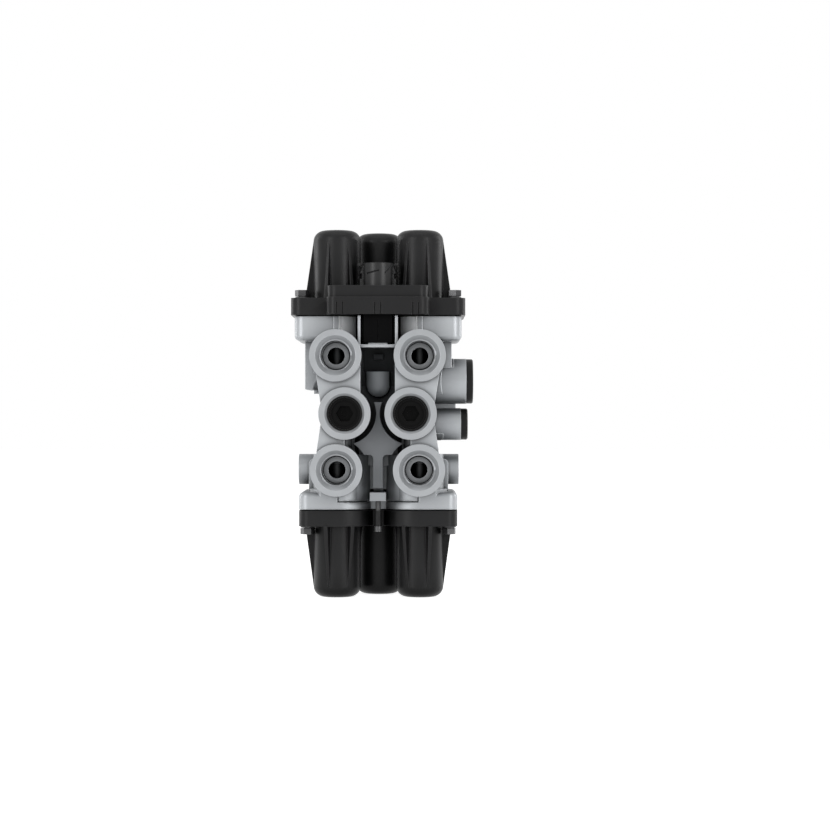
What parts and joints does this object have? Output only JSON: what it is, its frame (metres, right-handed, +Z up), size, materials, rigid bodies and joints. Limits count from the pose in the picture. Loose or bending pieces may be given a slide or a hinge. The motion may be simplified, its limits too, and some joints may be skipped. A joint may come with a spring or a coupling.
{
  "type": "four-circuit protection valve",
  "caption": "Compressed-air protection valve with a cast body, two ribbed dome covers, threaded ports and a pressure sensor connector.",
  "frame": {"origin": "middle of the rear mounting bolt pattern, level with the middle ports", "axes": "+Z up along the valve, -Y out of the front ports, +X towards the capped side ports"},
  "size_m": [0.1194, 0.1, 0.241],
  "materials": {
    "cast_alloy": "satin die-cast",
    "cover_plastic": "satin moulded",
    "sensor_plastic": "satin moulded",
    "connector_plastic": "satin moulded",
    "cap_plastic": "satin moulded",
    "plug_plastic": "satin moulded",
    "rubber": "matt",
    "screw_steel": "black zinc",
    "spring_steel": "drawn wire",
    "plate_steel": "pressed",
    "piston_alloy": "turned",
    "pin_metal": "plated"
  },
  "bodies": {
    "valve_housing": {"valve_body": "cast_alloy", "upper_cover": "cover_plastic", "lower_cover": "cover_plastic", "upper_gasket": "rubber", "lower_gasket": "rubber", "upper_cover_screws": "screw_steel", "lower_cover_screws": "screw_steel", "centre_screw": "screw_steel", "left_port_plug": "plug_plastic", "right_port_plug": "plug_plastic", "left_plug_seal": "rubber", "right_plug_seal": "rubber", "supply_port_cap": "cap_plastic", "auxiliary_port_cap": "cap_plastic", "sensor_module": "sensor_plastic", "sensor_connector": "connector_plastic", "connector_pins": "pin_metal", "left_upper_spring": "spring_steel", "left_upper_spring_plate": "plate_steel", "right_upper_spring": "spring_steel", "right_upper_spring_plate": "plate_steel", "rear_upper_spring": "spring_steel", "rear_upper_spring_plate": "plate_steel", "left_lower_spring": "spring_steel", "left_lower_spring_plate": "plate_steel", "right_lower_spring": "spring_steel", "right_lower_spring_plate": "plate_steel", "rear_lower_spring": "spring_steel", "rear_lower_spring_plate": "plate_steel"},
    "left_upper_piston_unit": {"left_upper_piston": "piston_alloy", "left_upper_piston_seal": "rubber", "left_upper_valve_disc": "rubber"},
    "right_upper_piston_unit": {"right_upper_piston": "piston_alloy", "right_upper_piston_seal": "rubber", "right_upper_valve_disc": "rubber"},
    "rear_upper_piston_unit": {"rear_upper_piston": "piston_alloy", "rear_upper_piston_seal": "rubber", "rear_upper_valve_disc": "rubber"},
    "left_lower_piston_unit": {"left_lower_piston": "piston_alloy", "left_lower_piston_seal": "rubber", "left_lower_valve_disc": "rubber"},
    "right_lower_piston_unit": {"right_lower_piston": "piston_alloy", "right_lower_piston_seal": "rubber", "right_lower_valve_disc": "rubber"},
    "rear_lower_piston_unit": {"rear_lower_piston": "piston_alloy", "rear_lower_piston_seal": "rubber", "rear_lower_valve_disc": "rubber"}
  },
  "joints": [
    {"name": "left_upper_lift", "type": "slide", "parent": "valve_housing", "child": "left_upper_piston_unit", "axis": [0, 0, 1], "range_m": [0, 0.003], "stiffness_N_per_m": 2500, "deforming": ["left_upper_spring"]},
    {"name": "right_upper_lift", "type": "slide", "parent": "valve_housing", "child": "right_upper_piston_unit", "axis": [0, 0, 1], "range_m": [0, 0.003], "stiffness_N_per_m": 2500, "deforming": ["right_upper_spring"]},
    {"name": "rear_upper_lift", "type": "slide", "parent": "valve_housing", "child": "rear_upper_piston_unit", "axis": [0, 0, 1], "range_m": [0, 0.003], "stiffness_N_per_m": 2500, "deforming": ["rear_upper_spring"]},
    {"name": "left_lower_lift", "type": "slide", "parent": "valve_housing", "child": "left_lower_piston_unit", "axis": [0, 0, -1], "range_m": [0, 0.003], "stiffness_N_per_m": 2500, "deforming": ["left_lower_spring"]},
    {"name": "right_lower_lift", "type": "slide", "parent": "valve_housing", "child": "right_lower_piston_unit", "axis": [0, 0, -1], "range_m": [0, 0.003], "stiffness_N_per_m": 2500, "deforming": ["right_lower_spring"]},
    {"name": "rear_lower_lift", "type": "slide", "parent": "valve_housing", "child": "rear_lower_piston_unit", "axis": [0, 0, -1], "range_m": [0, 0.003], "stiffness_N_per_m": 2500, "deforming": ["rear_lower_spring"]}
  ]
}
